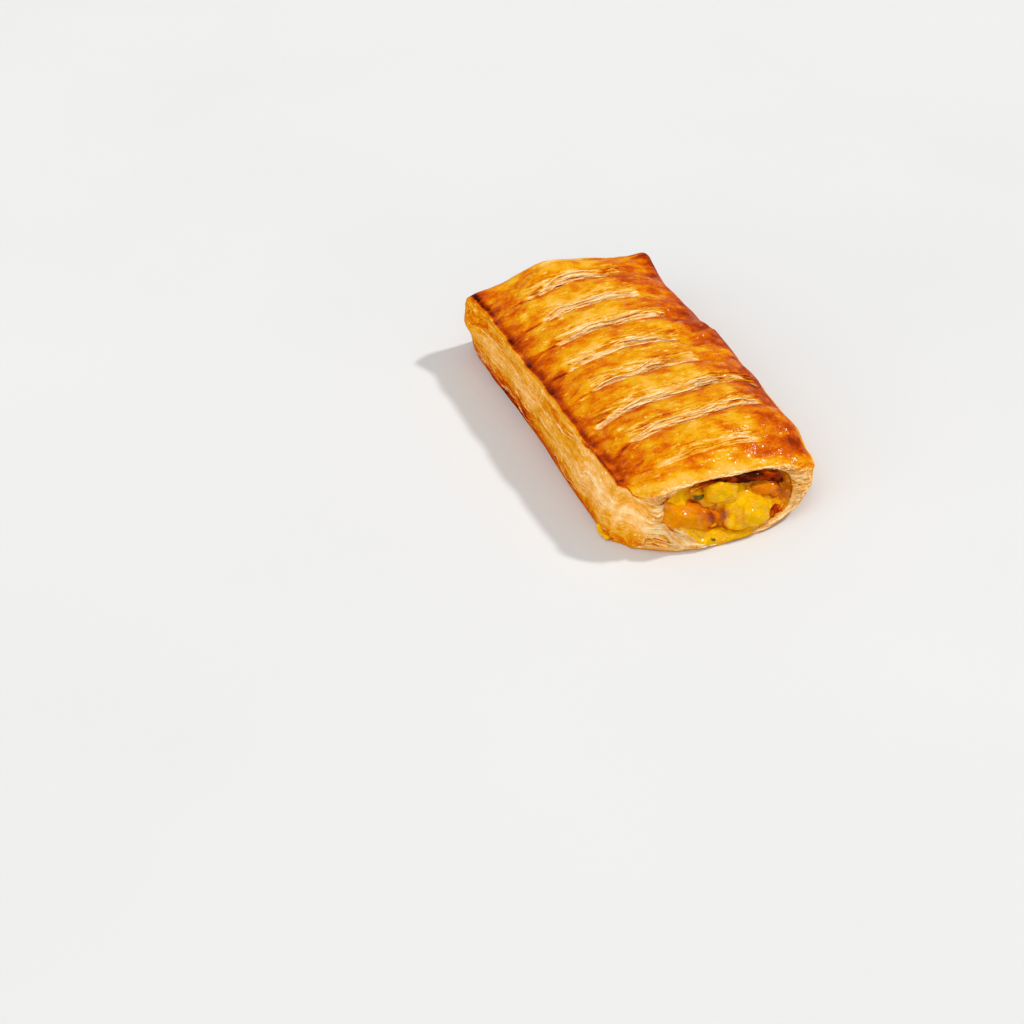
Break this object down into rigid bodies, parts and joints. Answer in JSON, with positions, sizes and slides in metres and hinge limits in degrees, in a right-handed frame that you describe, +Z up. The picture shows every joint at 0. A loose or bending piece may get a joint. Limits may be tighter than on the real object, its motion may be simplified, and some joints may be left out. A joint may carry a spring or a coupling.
{
  "type": "chicken puff pastry",
  "caption": "Oblong baked puff pastry parcel with a slit golden lid, pale flaky walls and open ends that show a yellow curry filling with diced chicken.",
  "frame": {"origin": "middle of the resting face, below the middle of the part's box", "axes": "+X to the right seen from the front end, +Y from the front end to the rear end, +Z up"},
  "size_m": [0.0838, 0.161, 0.035],
  "materials": {
    "pastry_crust": "golden glazed puff pastry lid, pale dry flaky walls",
    "curry_filling": "moist lumpy yellow curry sauce",
    "chicken": "moist cooked chicken, stained yellow, browned on top"
  },
  "bodies": {
    "root": {"pastry_sleeve": "pastry_crust", "curry_filling": "curry_filling", "chicken_front_left": "chicken", "chicken_front_top": "chicken", "chicken_front_right": "chicken", "chicken_front_far_right": "chicken", "chicken_rear_left": "chicken", "chicken_rear_middle": "chicken", "chicken_rear_right": "chicken"}
  },
  "joints": []
}
